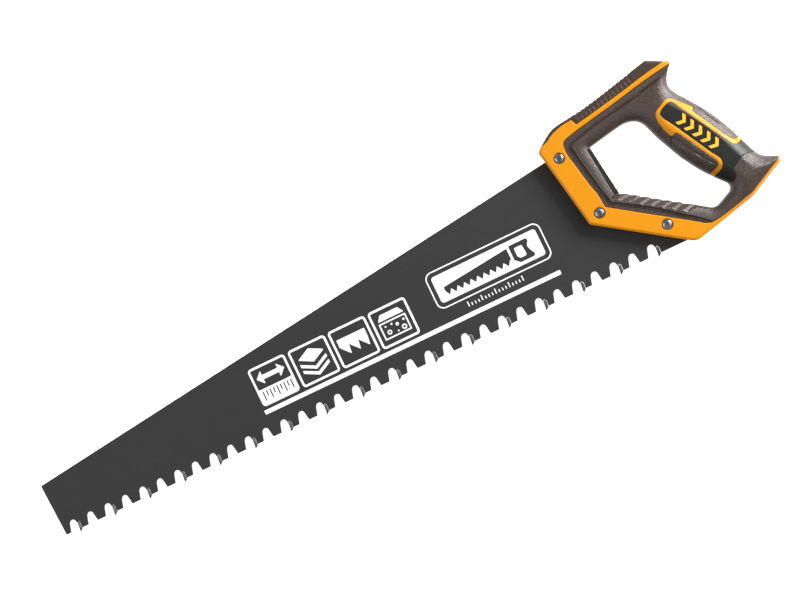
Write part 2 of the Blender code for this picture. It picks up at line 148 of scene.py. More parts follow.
def inside(points, path):
    result = np.zeros(len(points), bool)
    x0, y0 = path[:, 0][None], path[:, 1][None]
    x1, y1 = np.roll(x0, -1, axis=1), np.roll(y0, -1, axis=1)
    rise = np.where(y1 == y0, 1e-9, y1 - y0)
    for start in range(0, len(points), drawing["batch"]):
        here = points[start:start + drawing["batch"]]
        x, y = here[:, 0][:, None], here[:, 1][:, None]
        crosses = ((y0 > y) != (y1 > y)) & (x < x0 + (y - y0) * (x1 - x0) / rise)
        result[start:start + drawing["batch"]] = np.sum(crosses, axis=1) % 2 == 1
    return result


def reachOf(points, path, closed=True):
    # distance of each point from the path
    a = path if closed else path[:-1]
    b = np.roll(path, -1, axis=0) if closed else path[1:]
    along = (b - a)[None]
    size = np.maximum(np.sum(along * along, axis=2), 1e-12)
    result = np.empty(len(points))
    for start in range(0, len(points), drawing["batch"]):
        here = points[start:start + drawing["batch"], None]
        t = np.clip(np.sum((here - a[None]) * along, axis=2) / size, 0, 1)
        near = a[None] + along * t[:, :, None]
        result[start:start + drawing["batch"]] = np.sqrt(np.min(np.sum((here - near) ** 2, axis=2), axis=1))
    return result


def smooth(value, low, high):
    t = np.clip((value - low) / (high - low), 0, 1)
    return t * t * (3 - 2 * t)


def quarter(depth):
    # height of a quarter circle at this share of its width
    return np.sqrt(1 - (1 - np.clip(depth, 0, 1)) ** 2)


# mesh tools
def addObject(name, data):
    obj = bpy.data.objects.new(name, data)
    bpy.context.scene.collection.objects.link(obj)
    return obj


def addMesh(name, points, faces):
    mesh = bpy.data.meshes.new(name)
    x0, y0, z0 = datum
    mesh.from_pydata([(x * mm + x0, y * mm + y0, z * mm + z0) for x, y, z in points], [], faces)
    obj = addObject(name, mesh)
    bm = bmesh.new()
    bm.from_mesh(mesh)
    bmesh.ops.recalc_face_normals(bm, faces=bm.faces)
    bm.to_mesh(mesh)
    bm.free()
    return obj


def prism(name, path, low, high):
    count = len(path)
    points = [(x, y, z) for z in (low, high) for x, y in path]
    faces = [list(range(count))[::-1], list(range(count, 2 * count))]
    faces += [[i, (i + 1) % count, count + (i + 1) % count, count + i] for i in range(count)]
    return addMesh(name, points, faces)


def lathe(name, profile, centre, steps=48):
    points, faces, starts = [], [], []
    for radius, z in profile:
        starts.append(len(points))
        around = [0] if radius < 1e-6 else [2 * math.pi * i / steps for i in range(steps)]
        points += [(centre[0] + radius * math.cos(a), centre[1] + radius * math.sin(a), z) for a in around]
    for k in range(len(profile) - 1):
        a, b = starts[k], starts[k + 1]
        for i in range(steps):
            j = (i + 1) % steps
            if profile[k][0] < 1e-6:
                faces.append([a, b + i, b + j])
            elif profile[k + 1][0] < 1e-6:
                faces.append([a + i, a + j, b])
            else:
                faces.append([a + i, a + j, b + j, b + i])
    return addMesh(name, points, faces)


def triangulated(spots, loops, creases=()):
    points = [Vector(p) for path in (*loops, *creases) for p in path] + [Vector(p) for p in spots]
    edges = []
    start = 0
    for loop in loops:
        edges += [(start + i, start + (i + 1) % len(loop)) for i in range(len(loop))]
        start += len(loop)
    for crease in creases:
        edges += [(start + i, start + i + 1) for i in range(len(crease) - 1)]
        start += len(crease)
    found, _, triangles, *_ = delaunay_2d_cdt(points, edges, [], 0, 1e-4)
    return np.array([tuple(p) for p in found]), np.array([list(t) for t in triangles])


def closedSolid(name, spots, triangles, top, bottom):
    # two skins over the same triangles, joined by a wall round the rim
    used = np.unique(triangles)
    renumber = np.full(len(spots), -1)
    renumber[used] = np.arange(len(used))
    spots, triangles = spots[used], renumber[triangles]
    count = len(spots)
    points = np.concatenate([np.column_stack([spots, top[used]]), np.column_stack([spots, bottom[used]])])
    ends = np.concatenate([triangles[:, [0, 1]], triangles[:, [1, 2]], triangles[:, [2, 0]]])
    key = np.sort(ends, axis=1)
    _, index, uses = np.unique(key, axis=0, return_inverse=True, return_counts=True)
    rim = ends[uses[index.reshape(-1)] == 1]
    faces = triangles.tolist() + (triangles[:, ::-1] + count).tolist()
    faces += [[b, a, a + count, b + count] for a, b in rim.tolist()]
    return addMesh(name, points, faces)


def plate(name, loops, low, high):
    # a flat solid whose loops cut holes in one another
    spots, triangles = triangulated([], loops)
    middle = spots[triangles].mean(axis=1)
    kept = np.zeros(len(middle), int)
    for loop in loops:
        kept += inside(middle, loop)
    triangles = triangles[kept % 2 == 1]
    return closedSolid(name, spots, triangles, np.full(len(spots), high), np.full(len(spots), low))


def bevelled(name, path, half, bevel):
    # flat stock with a small chamfer round both faces
    path = turned(path)
    inner = grown(path, -bevel)
    spots, triangles = triangulated([], [inner])
    triangles = triangles[inside(spots[triangles].mean(axis=1), inner)]
    count = len(path)
    points, faces = [], []
    for side in (1, -1):
        start = len(points)
        points += [(x, y, side * half) for x, y in spots] + [(x, y, side * (half - bevel)) for x, y in path]
        flat = triangles if side > 0 else triangles[:, ::-1]
        faces += (flat + start).tolist()
        rim = start + len(spots)
        for i in range(count):
            j = (i + 1) % count
            faces.append([start + i, rim + i, rim + j, start + j][::side])
    upper, lower = len(spots), 2 * len(spots) + count
    for i in range(count):
        j = (i + 1) % count
        faces.append([upper + j, upper + i, lower + i, lower + j])
    return addMesh(name, points, faces)


def thinned(points, distance):
    # drops each point that is too near an earlier one
    cells = {}
    result = []
    for point, (cx, cy) in zip(points.tolist(), np.floor(points / distance).astype(int).tolist()):
        near = [p for i in (-1, 0, 1) for j in (-1, 0, 1) for p in cells.get((cx + i, cy + j), ())]
        if all((point[0] - x) ** 2 + (point[1] - y) ** 2 >= distance * distance for x, y in near):
            cells.setdefault((cx, cy), []).append(point)
            result.append(point)
    return np.array(result)


def clearOf(spots, lines, distance):
    # the spots that keep their distance from every line
    dense = []
    for line in lines:
        for a, b in zip(line[:-1], line[1:]):
            steps = max(1, math.ceil(np.linalg.norm(b - a) / distance))
            dense += [a + (b - a) * i / steps for i in range(steps)]
        dense.append(line[-1])
    tree = KDTree(len(dense))
    for i, spot in enumerate(dense):
        tree.insert((*spot, 0), i)
    tree.balance()
    return np.array([spot for spot in spots if tree.find((*spot, 0))[2] > distance])


def cutAway(target, cutters):
    for cutter in cutters:
        modifier = target.modifiers.new(cutter.name, "BOOLEAN")
        modifier.operation = "DIFFERENCE"
        modifier.solver = "EXACT"
        modifier.object = cutter
        mesh = bpy.data.meshes.new_from_object(target.evaluated_get(bpy.context.evaluated_depsgraph_get()))
        target.modifiers.clear()
        target.data = mesh
    for cutter in cutters:
        bpy.data.objects.remove(cutter, do_unlink=True)


def finish(obj, material, nodes, angle=38):
    obj.data.materials.clear()
    obj.data.materials.append(material)
    obj.data.shade_smooth()
    obj.data.set_sharp_from_angle(angle=math.radians(angle))
    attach(obj, "root")
    if nodes:
        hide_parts(*nodes)


# shader groups
class Net:
    # short calls for adding nodes and joining them
    def __init__(self, tree):
        self.tree = tree

    def put(self, value, socket):
        # a number or colour is set on the socket, an output is joined to it
        if isinstance(value, (int, float)):
            socket.default_value = value
        elif isinstance(value, tuple):
            socket.default_value = (*value, 1.0)
        elif value is not None:
            self.tree.links.new(value, socket)

    def add(self, kind, **values):
        node = self.tree.nodes.new(kind)
        for key, value in values.items():
            if hasattr(node, key):
                setattr(node, key, value)
            else:
                self.put(value, node.inputs[key.replace("_", " ")])
        return node

    def noise(self, where, scale, detail, roughness=0.5):
        return self.add("ShaderNodeTexNoise", Vector=where, Scale=scale, Detail=detail, Roughness=roughness)

    def math(self, operation, a, b=None, clamp=False):
        node = self.add("ShaderNodeMath", operation=operation, use_clamp=clamp)
        self.put(a, node.inputs[0])
        self.put(b, node.inputs[1])
        return node.outputs[0]

    def times(self, a, b):
        return self.math("MULTIPLY", a, b)

    def plus(self, a, b, clamp=False):
        return self.math("ADD", a, b, clamp)

    def mix(self, factor, a, b):
        node = self.add("ShaderNodeMix", data_type="RGBA")
        self.put(factor, node.inputs["Factor"])
        for name, value in (("A", a), ("B", b)):
            self.put(value, [s for s in node.inputs if s.name == name and s.type == "RGBA"][0])
        return [s for s in node.outputs if s.type == "RGBA"][0]

    def ramp(self, value, low, high):
        node = self.add("ShaderNodeMapRange", interpolation_type="SMOOTHSTEP")
        for name, given in (("Value", value), ("From Min", low), ("From Max", high)):
            self.put(given, node.inputs[name])
        return node.outputs["Result"]


def newGroup(name, inputs, outputs):
    group = bpy.data.node_groups.new(name, "ShaderNodeTree")
    group.interface.new_socket("Vector", in_out="INPUT", socket_type="NodeSocketVector")
    for label, value in inputs.items():
        socket = group.interface.new_socket(label, in_out="INPUT", socket_type="NodeSocketFloat")
        socket.default_value = value
    for label in outputs:
        group.interface.new_socket(label, in_out="OUTPUT", socket_type="NodeSocketFloat")
    given, result = group.nodes.new("NodeGroupInput").outputs, group.nodes.new("NodeGroupOutput").inputs
    return group, Net(group), given, result


grainLook = {"warpScale": 0.7, "warpReach": 0.0006, "smoothness": 0.35, "fineScale": 2.4,
             "walls": (0.25, 0.75)}


def buildGrain():
    # leathery moulded grain: small soft cells broken up by noise
    inputs = {"Cells per metre": 900.0, "Break up": 0.35}
    group, net, given, result = newGroup("Grain", inputs, ["Height", "Mask"])
    where, cellsPerMetre = given["Vector"], given["Cells per metre"]
    warp = net.noise(where, net.times(cellsPerMetre, grainLook["warpScale"]), 2.0)
    shift = net.add("ShaderNodeVectorMath", operation="MULTIPLY_ADD")
    net.put(warp.outputs["Color"], shift.inputs[0])
    shift.inputs[1].default_value = (grainLook["warpReach"],) * 3
    net.put(where, shift.inputs[2])
    cells = net.add("ShaderNodeTexVoronoi", feature="SMOOTH_F1", Smoothness=grainLook["smoothness"],
                    Vector=shift.outputs[0], Scale=cellsPerMetre).outputs["Distance"]
    fine = net.noise(where, net.times(cellsPerMetre, grainLook["fineScale"]), 3.0)
    rough = net.times(fine.outputs["Fac"], given["Break up"])
    net.put(net.plus(net.math("SUBTRACT", 1.0, cells), rough), result["Height"])
    net.put(net.ramp(cells, *grainLook["walls"]), result["Mask"])
    return group


wearLook = {"patches": (0.35, 0.65)}


def buildWearAndPaintedLight():
    # lighter, rubbed edges where the surface turns sharply; also a painted highlight along plastic creases,
    # and, inverted, painted shade in the screws' hollows
    inputs = {"Low": 0.53, "High": 0.62, "Patchiness": 160.0}
    group, net, given, result = newGroup("EdgeWearAndPaintedLight", inputs, ["Mask"])
    sharpness = net.add("ShaderNodeNewGeometry").outputs["Pointiness"]
    patches = net.noise(given["Vector"], given["Patchiness"], 4.0).outputs["Fac"]
    edges = net.ramp(sharpness, given["Low"], given["High"])
    net.put(net.times(edges, net.ramp(patches, *wearLook["patches"])), result["Mask"])
    return group


dustLook = {"speckScale": 22.0, "broad": (0.4, 0.7), "specks": (0.45, 0.75), "smudge": (0.3, 0.75)}


def buildDust():
    # thin uneven film that settles on faces turned up, and smudges from hands
    group, net, given, result = newGroup("Dust", {"Size": 35.0}, ["Film", "Smudge"])
    facing = net.add("ShaderNodeSeparateXYZ", Vector=net.add("ShaderNodeNewGeometry").outputs["Normal"])
    broad = net.noise(given["Vector"], given["Size"], 5.0).outputs["Fac"]
    specks = net.noise(given["Vector"], net.times(given["Size"], dustLook["speckScale"]), 2.0).outputs["Fac"]
    upward = net.times(net.math("ABSOLUTE", facing.outputs["Z"]), net.ramp(broad, *dustLook["broad"]))
    net.put(net.times(upward, net.ramp(specks, *dustLook["specks"])), result["Film"])
    net.put(net.ramp(broad, *dustLook["smudge"]), result["Smudge"])
    return group


grainGroup, wearAndPaintedLightGroup, dustGroup = buildGrain(), buildWearAndPaintedLight(), buildDust()


def newMaterial(name, values):
    material = bpy.data.materials.new(name)
    material.use_nodes = True
    net = Net(material.node_tree)
    shader = material.node_tree.nodes["Principled BSDF"].inputs
    net.put(values["colour"], shader["Base Color"])
    net.put(values["roughness"], shader["Roughness"])
    net.put(values.get("metallic", 0.0), shader["Metallic"])
    net.put(values.get("specular", 0.5), shader["Specular IOR Level"])
    where = net.add("ShaderNodeTexCoord").outputs["Object"]
    return material, net, shader, where


def placed(net, group, where, **values):
    return net.add("ShaderNodeGroup", node_tree=group, Vector=where, **values).outputs


def bump(net, shader, height, strength, depth):
    node = net.add("ShaderNodeBump", Strength=strength, Distance=depth, Height=height)
    net.put(node.outputs["Normal"], shader["Normal"])


def rubberMaterial(name, values):
    material, net, shader, where = newMaterial(name, values)
    grain = placed(net, grainGroup, where, Cells_per_metre=values["cells"])
    wear = placed(net, wearAndPaintedLightGroup, where, Low=0.54, High=0.68, Patchiness=220.0)
    dust = placed(net, dustGroup, where)
    pits = net.mix(net.times(grain["Mask"], values["pitDepth"]), values["colour"], values["pitColour"])
    rubbed = net.mix(net.times(wear["Mask"], values["rub"]), pits, values["rubbed"])
    filmed = net.mix(net.times(dust["Film"], values["dust"]), rubbed, values["dustColour"])
    net.put(filmed, shader["Base Color"])
    shine = net.times(dust["Smudge"], values["smudge"])
    net.put(net.plus(shine, values["roughness"], clamp=True), shader["Roughness"])
    bump(net, shader, grain["Height"], values["bump"], values["bumpDepth"])
    return material


def plasticMaterial(name, values):
    material, net, shader, where = newMaterial(name, values)
    grain = placed(net, grainGroup, where, Cells_per_metre=values["cells"], Break_up=0.8)
    wear = placed(net, wearAndPaintedLightGroup, where, Low=0.55, High=0.7)
    dust = placed(net, dustGroup, where)
    toned = net.mix(net.times(dust["Smudge"], values["tone"]), values["colour"], values["toned"])
    # the rubbed colour on sharp edges is wear, and along creases such as the shell's chamfer it is also a
    # painted highlight
    net.put(net.mix(net.times(wear["Mask"], values["rub"]), toned, values["rubbed"]), shader["Base Color"])
    shine = net.times(dust["Smudge"], values["smudge"])
    net.put(net.plus(shine, values["roughness"] - values["clean"], clamp=True), shader["Roughness"])
    bump(net, shader, grain["Height"], values["bump"], values["bumpDepth"])
    return material


rubber = {"colour": (0.052, 0.032, 0.024), "pitColour": (0.026, 0.016, 0.012), "rubbed": (0.1, 0.074, 0.064),
          "dustColour": (0.2, 0.175, 0.16), "pitDepth": 0.9, "rub": 0.35, "dust": 0.04, "smudge": -0.12,
          "roughness": 0.45, "specular": 0.55, "cells": 980.0, "bump": 0.85, "bumpDepth": 0.0003}
# the yellow's and the black's rubbed colours: wear on sharp edges, and a painted highlight along creases
yellow = {"colour": (0.585, 0.218, 0.002), "toned": (0.545, 0.2, 0.002), "rubbed": (0.8, 0.36, 0.015),
          "tone": 0.5, "rub": 0.4, "smudge": 0.14, "clean": 0.05, "roughness": 0.44, "specular": 0.22,
          "cells": 2600.0, "bump": 0.12, "bumpDepth": 0.0001}
black = {"colour": (0.01, 0.0108, 0.009), "toned": (0.013, 0.0135, 0.012), "rubbed": (0.04, 0.04, 0.04),
         "tone": 0.5, "rub": 0.4, "smudge": 0.14, "clean": 0.05, "roughness": 0.42, "specular": 0.3,
         "cells": 2400.0, "bump": 0.1, "bumpDepth": 0.0001}
brown = rubberMaterial("softRubber", rubber)
padBrown = rubberMaterial("padRubber", {**rubber, "cells": 900.0, "bump": 0.5, "specular": 0.35})
shellYellow = plasticMaterial("shellYellow", yellow)
trimYellow = plasticMaterial("trimYellow", {**yellow, "roughness": 0.38})
coreBlack = plasticMaterial("coreBlack", black)
stripBlack = plasticMaterial("stripBlack", {**black, "roughness": 0.75, "specular": 0.08})
print("handle materials ready")


# handle outlines and sizes
handle = {
    "plateHalf": 11.0, "gripHalf": 16.6, "restHalf": 16.0, "leastHalf": 1.4, "panelDrop": 0.12,
    "plateEdge": 3.0, "linerWidth": 11.0, "linerDrop": 5.5, "gripRound": 17.0,
    "gripAxis": ((637.0, 98.0), (664.0, 42.0)), "gripReach": 48.0, "gripGain": 1.2,
    "seam": 0.03, "seamRound": 0.5, "seamDrop": 0.42, "seamRings": (0.1, 0.27, 0.5), "thinnest": 0.9,
    "fieldStep": 1.25, "rowHeight": 0.866, "closest": 0.4,
    "rings": (1.0, 0.8, 0.62, 0.45, 0.3, 0.18, 0.09, 0.03), "ringKept": 0.92,
    "outer": (
        (531.6, 47.3, 2.9), (605.9, -4.0, 10.5), (664.5, 9.8, 23.6), (701.7, 29.0, 3.7), (687.2, 36.0),
        (683.4, 39.3), (681.1, 43.2), (677.2, 52.8), (671.3, 68.1), (664.8, 82.5), (657.3, 95.5),
        (648.9, 107.6), (643.3, 115.3), (640.1, 123.0), (641.9, 129.7), (646.2, 135.9),
        (650.8, 140.7, 1.9), (631.6, 150.9, 2.8), (567.2, 137.4), (554.7, 135.8), (543.2, 134.4),
        (536.5, 132.8), (530.7, 129.5), (522.5, 123.6), (519.3, 120.3), (519.0, 117.9),
        (520.0, 113.5, 0.0)),
    "openingFront": (
        (559.4, 105.8, 1.0), (565.2, 59.5, 0.5)),
    "openingBack": (
        (619.1, 23.1), (632.0, 13.8, 8.5), (653.9, 24.3, 5.5), (642.9, 36.9), (634.4, 48.1),
        (625.0, 63.6), (618.4, 77.5), (613.3, 89.1), (610.5, 97.3), (608.4, 102.9), (605.1, 107.5),
        (599.6, 110.4), (593.4, 111.4), (585.3, 110.4)),
    "frameTop": (
        (509.4, 122.4, 0.0), (522.5, 123.8), (528.2, 125.1), (533.6, 128.2), (540.3, 130.9),
        (548.0, 132.5), (555.5, 133.1, 1.2), (557.5, 127.7, 1.2), (572.0, 130.2), (600.6, 135.3),
        (629.2, 141.0), (646.2, 143.4), (660.0, 145.4, 0.0)),
    "frameInner": (
        (661.0, 140.9, 0.0), (648.1, 139.4), (619.7, 135.2), (600.6, 131.4), (572.0, 126.2),
        (552.8, 122.7), (540.3, 119.7, 6.7), (539.8, 110.0), (542.5, 94.9), (545.8, 77.5),
        (548.2, 67.8), (549.6, 54.9, 1.9), (614.3, 9.9, 0.0), (618.6, 6.8), (623.3, 5.1), (628.5, 5.1),
        (638.0, 6.8), (664.5, 13.2, 17.0), (694.6, 28.8), (708.0, 35.5, 0.0)),
    "bandInner": (
        (645.0, 133.7, 0.0), (600.6, 125.3), (571.9, 120.8), (552.7, 116.6), (544.7, 114.2, 3.5),
        (546.0, 103.6), (549.2, 85.2), (552.5, 67.8), (555.6, 55.8, 1.5), (585.9, 36.0), (604.9, 21.0),
        (617.2, 11.8), (622.0, 7.0), (628.0, 2.5), (640.0, 2.0), (665.0, 8.0), (712.0, 30.0, 0.0)),
    "strip": (
        (556.6, 104.6), (561.2, 60.5), (572.0, 60.5), (568.0, 104.6)),
    "trimPad": (
        (632.0, 38.6, 0.0), (639.1, 41.6), (642.9, 43.3), (647.7, 45.2), (649.4, 48.6), (647.7, 52.4),
        (643.0, 61.1), (638.3, 69.7), (633.6, 78.4), (629.9, 84.2), (628.0, 85.2), (624.9, 83.9),
        (621.8, 88.6), (620.2, 94.4), (619.2, 103.0), (620.7, 107.2), (629.0, 112.1), (634.3, 114.2),
        (637.6, 112.5), (645.1, 104.7), (650.9, 98.2, 0.9), (648.6, 95.7, 0.9), (655.4, 83.5),
        (661.5, 72.0), (667.1, 62.4), (670.4, 59.5), (675.3, 60.0), (687.0, 61.8, 0.0)),
    "trimPanel": (
        (688.0, 58.4, 0.0), (676.0, 57.6), (670.8, 55.0), (667.0, 56.4), (663.3, 62.4), (657.7, 72.0),
        (647.9, 89.3), (639.9, 103.8), (636.1, 110.1), (633.3, 110.3), (623.3, 104.5), (623.8, 102.0),
        (628.9, 93.3), (638.3, 75.8), (647.7, 58.2), (652.6, 49.0), (651.0, 43.3), (647.6, 40.7),
        (642.0, 38.8), (631.0, 34.6, 0.0)),
    "hornEdge": (
        (640.0, 25.0, 0.0), (650.1, 27.5), (655.1, 28.7), (658.0, 31.4), (658.0, 36.8), (660.4, 39.2),
        (666.5, 42.6), (671.2, 44.5), (680.6, 42.8), (692.0, 40.0, 0.0)),
    "fingerLine": (
        (619.4, 84.6), (623.2, 82.8), (626.0, 80.9), (634.4, 66.9), (643.0, 52.9), (645.8, 48.1)),
    "palmLine": (
        (652.0, 97.6), (653.6, 96.0), (655.4, 94.1), (657.3, 90.2), (663.8, 76.8), (667.6, 70.0),
        (672.3, 63.8), (674.4, 61.0)),
}
shellEdge = {"chamfer": (1.86, 1.1), "corner": (0.54, 2.2), "gripStarts": 0.02}
liner = {"bandDepth": 1.0, "lip": 0.75, "groove": 1.6, "bezelSteps": (-1.35, -0.85, -0.3, 0.05, 0.45, 1.0),
         "crossLines": (((645.0, 111.5), (651.2, 96.9)), ((626.2, 85.4), (617.4, 75.6)),
                        ((621.4, 95.0), (609.5, 88.9))),
         "crossDepth": 0.6, "crossWidths": (0.1, 0.55), "crossSteps": 15}
lowPad = {"raise": 0.55, "round": 1.0, "grooveDepth": 0.4, "groove": (-0.6, -0.1, 0.1, 0.5),
          "ends": (-0.5, 1.5)}
ribs = {"count": 7, "first": (570.7, 57.4), "step": (7.43, -5.22), "drop": (1.9, -2.5),
        "crest": (0.989, 0.148), "peakRadius": 0.6, "valleyRadius": 0.4, "low": 4.4, "slope": 0.72,
        "belowFace": 0.15, "starts": (-0.66, -0.5), "fades": 1.5, "clearance": (1.0, 2.0),
        "limits": (626, 66), "foldReach": (-2.0, 13.0, 1.0)}
spine = {"count": 14, "first": (561.0, 136.1), "along": (0.9786, 0.2056), "pitch": 4.05, "depth": 0.3,
         "notch": 0.65, "notchEdges": (0.17, 1.36), "outlineStep": 0.4, "lowest": 128, "past": 1.5,
         "inside": -3}

ribStart, ribStep = np.array(ribs["first"]), np.array(ribs["step"])
ribDrop, ribCrest = np.array(ribs["drop"]), np.array(ribs["crest"])
ribDown = np.array((ribCrest[1], -ribCrest[0]))
ribPitch, ribFall = float(ribStep @ ribDown), float(ribDrop @ ribDown)
ribCorners = []
for i in range(ribs["count"]):
    peak = ribStart + i * ribStep
    ribCorners.append((*peak, ribs["peakRadius"]))
    if i < ribs["count"] - 1:
        ribCorners.append((*(peak + ribDrop), ribs["valleyRadius"]))
outerPath = turned(drawn(handle["outer"]))
openingPath = turned(drawn(handle["openingFront"] + tuple(ribCorners) + handle["openingBack"]))
openLines = ("frameTop", "frameInner", "bandInner", "trimPad", "trimPanel", "hornEdge", "fingerLine",
             "palmLine")
topEdge, innerEdge, bezel, padEdge, panelEdge, hornPath, fingerLine, palmLine = [
    drawn(handle[key], closed=False) for key in openLines]
regions = {
    "frame": np.concatenate([topEdge, innerEdge, [(712, 10), (640, -20), (604, -20), (500, 48)]]),
    "soft": np.concatenate([innerEdge, [(725, 60), (725, 120), (690, 145)]]),
    "pad": np.concatenate([topEdge, [(662, 175), (505, 175)]]),
    "band": np.concatenate([bezel, innerEdge[::-1]]),
    "trim": np.concatenate([padEdge, panelEdge]),
    "insert": np.concatenate([padEdge, hornPath[::-1]]),
    "panel": np.concatenate([panelEdge, hornPath]),
    "strip": np.array(handle["strip"]),
}
regions = {key: turned(path) for key, path in regions.items()}


# heights over the handle
def gripShare(points):
    # 1 in the middle of the rear grip, 0 out on the flat of the handle
    a, b = np.array(handle["gripAxis"][0]), np.array(handle["gripAxis"][1])
    t = np.clip((points - a) @ (b - a) / ((b - a) @ (b - a)), 0, 1)
    away = np.linalg.norm(points - a - t[:, None] * (b - a), axis=1)
    return smooth(handle["gripGain"] * (1 - away / handle["gripReach"]), 0, 1)


def between(share, plain, grip):
    return plain + (grip - plain) * share


def baseHeight(points):
    share = gripShare(points)
    full = between(share, handle["plateHalf"], handle["gripHalf"])
    drop = 0
    edges = ((outerPath, "plateEdge", "plateEdge"), (openingPath, "linerDrop", "linerWidth"))
    for path, plain, width in edges:
        depth = between(share, handle[plain], full - handle["leastHalf"])
        reach = between(share, handle[width], handle["gripRound"])
        drop = drop + depth * (1 - quarter(reachOf(points, path) / reach))
    return np.clip(full - drop, handle["leastHalf"], handle["restHalf"])


def raisedPad(points, line, side):
    # a low pad on one side of the line, with a fine groove at its foot
    ahead = line[-1] - line[0]
    across = (points - line[0]) @ np.array((-ahead[1], ahead[0])) * side
    onPad = np.where(across > 0, 1, -1) * reachOf(points, line, closed=False)
    ends = np.minimum((points - line[0]) @ unit(ahead), (line[-1] - points) @ unit(ahead))
    groove = smooth(onPad, *lowPad["groove"][:2]) - smooth(onPad, *lowPad["groove"][2:])
    rise = lowPad["raise"] * smooth(onPad, 0.0, lowPad["round"]) - lowPad["grooveDepth"] * groove
    return smooth(ends, *lowPad["ends"]) * rise


def ribbed(points, z, toBezel):
    # stepped lower liner: its zigzag edge is swept back and up along the crests
    run, out = (points - ribStart) @ ribDown, (points - ribStart) @ ribCrest
    whole = np.floor(run / ribPitch)
    part = run - whole * ribPitch
    fallOut, stepOut = ribDrop @ ribCrest, ribStep @ ribCrest
    onFall = np.minimum(part / ribFall, 1)
    onRise = np.maximum((part - ribFall) / (ribPitch - ribFall), 0)
    edge = whole * stepOut + onFall * fallOut + onRise * (stepOut - fallOut)
    stepped = ribs["low"] + ribs["slope"] * (edge - out)
    stepped = np.clip(stepped, ribs["low"], handle["plateHalf"] - ribs["belowFace"])
    first, full = ribs["starts"]
    last = (ribs["count"] - 1) * ribPitch + ribFall
    shown = smooth(run, ribPitch * first, ribPitch * full) * (1 - smooth(run, last, last + ribs["fades"]))
    near = (points[:, 0] < ribs["limits"][0]) * (points[:, 1] < ribs["limits"][1])
    return z + (stepped - z) * shown * smooth(toBezel, *ribs["clearance"]) * near


def softRelief(points, z):
    # recessed band beside the yellow shell, then a thin lip and a dark groove round the liner
    steps = liner["bezelSteps"]
    toBezel = reachOf(points, bezel, closed=False) * np.where(inside(points, regions["band"]), -1, 1)
    recess = np.minimum(z, handle["plateHalf"] - liner["bandDepth"])
    z = np.where(toBezel < steps[2], recess + liner["lip"] * smooth(toBezel, *steps[:2]), z)
    grooved = smooth(toBezel, *steps[2:4]) - smooth(toBezel, *steps[4:])
    z = z - liner["groove"] * (1 - gripShare(points)) * grooved
    z = ribbed(points, z, toBezel)
    for line in crossLines:
        z = z - liner["crossDepth"] * (1 - smooth(reachOf(points, line, closed=False), *liner["crossWidths"]))
    return z + raisedPad(points, fingerLine, -1) + raisedPad(points, palmLine, 1)


def scallop(run):
    # 1 in the middle of a notch of the spine, 0 between the notches
    nearest = np.clip(np.round(run / spine["pitch"]), 0, spine["count"] - 1)
    return 1 - smooth(np.abs(run - nearest * spine["pitch"]), *spine["notchEdges"])


def padRelief(points, z):
    return z - spine["depth"] * scallop((points - np.array(spine["first"])) @ np.array(spine["along"]))


def panelRelief(points, z):
    return np.minimum(z, handle["restHalf"] - handle["panelDrop"])


def shellRelief(points, z):
    # crisp chamfer round the outside of the shell
    toOuter = reachOf(points, outerPath)
    (width, drop), (cornerWidth, cornerDrop) = shellEdge["chamfer"], shellEdge["corner"]
    sloped = handle["plateHalf"] - drop * (1 - np.clip(toOuter / width, 0, 1))
    rounded = handle["plateHalf"] - cornerDrop * (1 - quarter(toOuter / cornerWidth))
    return np.where(gripShare(points) > shellEdge["gripStarts"], z, np.minimum(sloped, rounded))


# handle pieces
def fieldPoints(region, step):
    low, high = region.min(axis=0), region.max(axis=0)
    low, high = np.maximum(low, outerPath.min(axis=0)), np.minimum(high, outerPath.max(axis=0))
    rows = []
    for row, y in enumerate(np.arange(low[1], high[1], step * handle["rowHeight"])):
        x = np.arange(low[0] + (row % 2) * step / 2, high[0], step)
        rows.append(np.column_stack([x, np.full(len(x), y)]))
    return np.concatenate(rows)


def ringLines():
    # contour lines inside the rounded edges, broken where the handle is too narrow for them
    found = []
    for share in handle["rings"]:
        for path, sign, width in ((outerPath, -1, "plateEdge"), (openingPath, 1, "linerWidth")):
            away = share * between(gripShare(path), handle[width], handle["gripRound"])
            spots = path + (grown(path, sign) - path) * away[:, None]
            keep = reachOf(spots, path) > handle["ringKept"] * away
            run = []
            for spot, kept in zip(closedLine(spots), np.append(keep, keep[0])):
                if kept:
                    run.append(spot)
                elif run:
                    found.append(np.array(run))
                    run = []
            found.append(np.array(run))
    return [line for line in found if len(line) > 1]


def handlePiece(name, region, without=(), relief=None, creases=(), finer=None, outer=outerPath):
    shrunk = grown(region, -handle["seam"])
    holes = [grown(path, handle["seam"]) for path in without]
    borders = [closedLine(path) for path in (shrunk, *holes)]
    for away in handle["seamRings"]:
        borders.append(closedLine(grown(shrunk, -away)))
        borders += [closedLine(grown(hole, away)) for hole in holes]
    creases = [*creases, *rings, *borders[1 + len(holes):]]

    def covered(points):
        result = inside(points, outer) & ~inside(points, openingPath) & inside(points, shrunk)
        for hole in holes:
            result &= ~inside(points, hole)
        return result

    spots = fieldPoints(shrunk, handle["fieldStep"])
    if finer:
        (x0, y0, x1, y1), step = finer
        spots = np.concatenate([fieldPoints(np.array([(x0, y0), (x1, y1)]), step), spots])
    lines = [closedLine(outer), closedLine(openingPath), *borders, *creases]
    spots = clearOf(spots[covered(spots)], lines, handle["closest"])
    spots = thinned(spots, handle["closest"])
    flat, triangles = triangulated(spots, [outer, openingPath, shrunk, *holes], creases)
    triangles = triangles[covered(flat[triangles].mean(axis=1))]
    z = baseHeight(flat)
    if relief:
        z = relief(flat, z)
    toSeam = np.min([reachOf(flat, path) for path in (shrunk, *holes)], axis=0)
    z = z - handle["seamDrop"] * (1 - quarter(toSeam / handle["seamRound"]))
    z = np.maximum(z, handle["thinnest"])
    return closedSolid(name, flat, triangles, z, -z)


